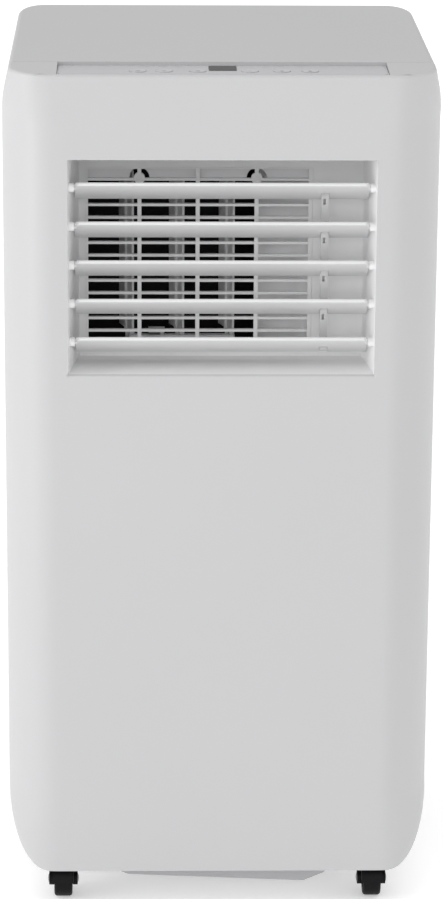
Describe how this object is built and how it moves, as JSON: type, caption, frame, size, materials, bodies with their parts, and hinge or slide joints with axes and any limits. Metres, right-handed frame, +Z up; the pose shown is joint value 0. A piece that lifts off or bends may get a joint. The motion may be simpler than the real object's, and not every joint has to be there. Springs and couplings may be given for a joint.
{
  "type": "portable air conditioner",
  "caption": "Tall upright portable air conditioner on swivel casters, with a louvred front outlet, top control strip, rear intakes and round hose collar.",
  "frame": {"origin": "on the floor, under the middle of the whole object's box", "axes": "+X to the right as seen by someone facing the outlet, +Y from the outlet to the rear, +Z up"},
  "size_m": [0.35, 0.34, 0.705],
  "materials": {
    "casing_white": "fine satin moulded plastic",
    "outlet_grey": "satin moulded plastic",
    "strip_grey": "satin moulded plastic",
    "film_grey": "smooth label film",
    "display_dark": "smoked window",
    "lens_clear": "diffusing lens",
    "key_grey": "satin moulded plastic",
    "louver_white": "satin moulded plastic",
    "vane_grey": "satin moulded plastic",
    "inner_dark": "plain moulded plastic",
    "wheel_black": "plain moulded plastic",
    "motor_steel": "zinc plated can",
    "coil_fin": "thin fins",
    "compressor_paint": "black paint",
    "mount_rubber": "soft rubber",
    "pipe_copper": null,
    "pan_grey": "plain moulded plastic",
    "cover_white": "satin moulded plastic",
    "filter_mesh": "fine mesh",
    "plug_rubber": "soft rubber",
    "box_steel": "galvanised sheet",
    "board_green": "circuit board",
    "screw_steel": "zinc plated",
    "caster_black": "nylon",
    "caster_tread": "nylon"
  },
  "bodies": {
    "root": {"front_shell": "casing_white", "rear_shell": "casing_white", "top_cover": "casing_white", "outlet_frame": "outlet_grey", "outlet_grille": "outlet_grey", "outlet_duct": "outlet_grey", "control_panel": "strip_grey", "control_film": "film_grey", "display_window": "display_dark", "indicator_lenses": "lens_clear", "evaporator_scroll": "inner_dark", "condenser_scroll": "inner_dark", "drip_tray": "inner_dark", "evaporator_motor": "motor_steel", "condenser_motor": "motor_steel", "evaporator_coil": "coil_fin", "condenser_coil": "coil_fin", "compressor": "compressor_paint", "compressor_mounts": "mount_rubber", "refrigerant_pipes": "pipe_copper", "base_pan": "pan_grey", "exhaust_collar": "cover_white", "left_hand_hold": "cover_white", "right_hand_hold": "cover_white", "cord_gland": "plug_rubber", "electrical_box": "box_steel", "control_board": "board_green", "casing_screws": "screw_steel"},
    "louver_1": {"louver_1": "louver_white"},
    "louver_2": {"louver_2": "louver_white"},
    "louver_3": {"louver_3": "louver_white"},
    "louver_4": {"louver_4": "louver_white"},
    "louver_5": {"louver_5": "louver_white"},
    "louver_link": {"louver_link": "louver_white"},
    "vane_1": {"vane_1": "vane_grey"},
    "vane_2": {"vane_2": "vane_grey"},
    "vane_3": {"vane_3": "vane_grey"},
    "vane_link": {"vane_link": "vane_grey"},
    "key_1": {"key_1": "key_grey"},
    "key_2": {"key_2": "key_grey"},
    "key_3": {"key_3": "key_grey"},
    "key_4": {"key_4": "key_grey"},
    "key_5": {"key_5": "key_grey"},
    "key_6": {"key_6": "key_grey"},
    "evaporator_wheel": {"evaporator_wheel": "wheel_black"},
    "condenser_wheel": {"condenser_wheel": "wheel_black"},
    "upper_filter_cover": {"upper_filter_cover": "cover_white", "upper_filter": "filter_mesh"},
    "upper_drain_plug": {"upper_drain_plug": "plug_rubber"},
    "lower_filter_cover": {"lower_filter_cover": "cover_white", "lower_filter": "filter_mesh"},
    "lower_drain_plug": {"lower_drain_plug": "plug_rubber"},
    "caster_front_left": {"caster_fork_front_left": "caster_black"},
    "wheel_front_left": {"caster_wheel_front_left": "caster_tread"},
    "caster_front_right": {"caster_fork_front_right": "caster_black"},
    "wheel_front_right": {"caster_wheel_front_right": "caster_tread"},
    "caster_rear_left": {"caster_fork_rear_left": "caster_black"},
    "wheel_rear_left": {"caster_wheel_rear_left": "caster_tread"},
    "caster_rear_right": {"caster_fork_rear_right": "caster_black"},
    "wheel_rear_right": {"caster_wheel_rear_right": "caster_tread"}
  },
  "joints": [
    {"name": "louver_1_tilt", "type": "hinge", "parent": "root", "child": "louver_1", "pos_m": [0, -0.15884, 0.611], "axis": [1, 0, 0], "range_deg": [-27, 45]},
    {"name": "louver_2_tilt", "type": "hinge", "parent": "root", "child": "louver_2", "pos_m": [0, -0.15884, 0.57965], "axis": [1, 0, 0], "range_deg": [-27, 45]},
    {"name": "louver_3_tilt", "type": "hinge", "parent": "root", "child": "louver_3", "pos_m": [0, -0.15884, 0.5483], "axis": [1, 0, 0], "range_deg": [-26, 44]},
    {"name": "louver_4_tilt", "type": "hinge", "parent": "root", "child": "louver_4", "pos_m": [0, -0.15884, 0.51695], "axis": [1, 0, 0], "range_deg": [-27, 45]},
    {"name": "louver_5_tilt", "type": "hinge", "parent": "root", "child": "louver_5", "pos_m": [0, -0.15884, 0.4856], "axis": [1, 0, 0], "range_deg": [-27, 45]},
    {"name": "louver_link_swing", "type": "hinge", "parent": "louver_3", "child": "louver_link", "pos_m": [0.082, -0.14342, 0.5394], "axis": [1, 0, 0], "range_deg": [-45, 27]},
    {"name": "vane_1_swing", "type": "hinge", "parent": "root", "child": "vane_1", "pos_m": [-0.0755, -0.085, 0.55], "axis": [0, 0, 1], "range_deg": [-51, 11]},
    {"name": "vane_2_swing", "type": "hinge", "parent": "root", "child": "vane_2", "pos_m": [-0.0347, -0.085, 0.55], "axis": [0, 0, 1], "range_deg": [-50, 10]},
    {"name": "vane_3_swing", "type": "hinge", "parent": "root", "child": "vane_3", "pos_m": [0.006, -0.085, 0.55], "axis": [0, 0, 1], "range_deg": [-51, 11]},
    {"name": "vane_link_swing", "type": "hinge", "parent": "vane_2", "child": "vane_link", "pos_m": [-0.03094, -0.09534, 0.474], "axis": [0, 0, 1], "range_deg": [-11, 51]},
    {"name": "key_1_press", "type": "slide", "parent": "root", "child": "key_1", "axis": [0, 0, -1], "range_m": [0, 0.0008], "stiffness_N_per_m": 300, "springref_m": -0.0003},
    {"name": "key_2_press", "type": "slide", "parent": "root", "child": "key_2", "axis": [0, 0, -1], "range_m": [0, 0.0008], "stiffness_N_per_m": 300, "springref_m": -0.0003},
    {"name": "key_3_press", "type": "slide", "parent": "root", "child": "key_3", "axis": [0, 0, -1], "range_m": [0, 0.0008], "stiffness_N_per_m": 300, "springref_m": -0.0003},
    {"name": "key_4_press", "type": "slide", "parent": "root", "child": "key_4", "axis": [0, 0, -1], "range_m": [0, 0.0008], "stiffness_N_per_m": 300, "springref_m": -0.0003},
    {"name": "key_5_press", "type": "slide", "parent": "root", "child": "key_5", "axis": [0, 0, -1], "range_m": [0, 0.0008], "stiffness_N_per_m": 300, "springref_m": -0.0003},
    {"name": "key_6_press", "type": "slide", "parent": "root", "child": "key_6", "axis": [0, 0, -1], "range_m": [0, 0.0008], "stiffness_N_per_m": 300, "springref_m": -0.0003},
    {"name": "evaporator_wheel_spin", "type": "hinge", "parent": "root", "child": "evaporator_wheel", "pos_m": [-0.04, 0, 0.372], "axis": [0, 1, 0], "continuous": true},
    {"name": "condenser_wheel_spin", "type": "hinge", "parent": "root", "child": "condenser_wheel", "pos_m": [0.045, 0, 0.158], "axis": [0, 1, 0], "continuous": true},
    {"name": "upper_filter_cover_pull", "type": "slide", "parent": "root", "child": "upper_filter_cover", "axis": [0, 1, 0], "range_m": [0, 0.06]},
    {"name": "upper_drain_plug_pull", "type": "slide", "parent": "root", "child": "upper_drain_plug", "axis": [0, 1, 0], "range_m": [0, 0.03]},
    {"name": "lower_filter_cover_pull", "type": "slide", "parent": "root", "child": "lower_filter_cover", "axis": [0, 1, 0], "range_m": [0, 0.06]},
    {"name": "lower_drain_plug_pull", "type": "slide", "parent": "root", "child": "lower_drain_plug", "axis": [0, 1, 0], "range_m": [0, 0.03]},
    {"name": "caster_front_left_swivel", "type": "hinge", "parent": "root", "child": "caster_front_left", "pos_m": [-0.1294, -0.132, 0.04], "axis": [0, 0, 1], "continuous": true},
    {"name": "wheel_front_left_roll", "type": "hinge", "parent": "caster_front_left", "child": "wheel_front_left", "pos_m": [-0.1294, -0.1395, 0.015], "axis": [1, 0, 0], "continuous": true},
    {"name": "caster_front_right_swivel", "type": "hinge", "parent": "root", "child": "caster_front_right", "pos_m": [0.1294, -0.132, 0.04], "axis": [0, 0, 1], "continuous": true},
    {"name": "wheel_front_right_roll", "type": "hinge", "parent": "caster_front_right", "child": "wheel_front_right", "pos_m": [0.1294, -0.1395, 0.015], "axis": [1, 0, 0], "continuous": true},
    {"name": "caster_rear_left_swivel", "type": "hinge", "parent": "root", "child": "caster_rear_left", "pos_m": [-0.1294, 0.132, 0.04], "axis": [0, 0, 1], "continuous": true},
    {"name": "wheel_rear_left_roll", "type": "hinge", "parent": "caster_rear_left", "child": "wheel_rear_left", "pos_m": [-0.1294, 0.1245, 0.015], "axis": [1, 0, 0], "continuous": true},
    {"name": "caster_rear_right_swivel", "type": "hinge", "parent": "root", "child": "caster_rear_right", "pos_m": [0.1294, 0.132, 0.04], "axis": [0, 0, 1], "continuous": true},
    {"name": "wheel_rear_right_roll", "type": "hinge", "parent": "caster_rear_right", "child": "wheel_rear_right", "pos_m": [0.1294, 0.1245, 0.015], "axis": [1, 0, 0], "continuous": true}
  ],
  "couplings": [
    {"joint": "louver_1_tilt", "follows": "louver_3_tilt", "ratio": 1},
    {"joint": "louver_2_tilt", "follows": "louver_3_tilt", "ratio": 1},
    {"joint": "louver_4_tilt", "follows": "louver_3_tilt", "ratio": 1},
    {"joint": "louver_5_tilt", "follows": "louver_3_tilt", "ratio": 1},
    {"joint": "louver_link_swing", "follows": "louver_3_tilt", "ratio": -1},
    {"joint": "vane_1_swing", "follows": "vane_2_swing", "ratio": 1},
    {"joint": "vane_3_swing", "follows": "vane_2_swing", "ratio": 1},
    {"joint": "vane_link_swing", "follows": "vane_2_swing", "ratio": -1}
  ]
}
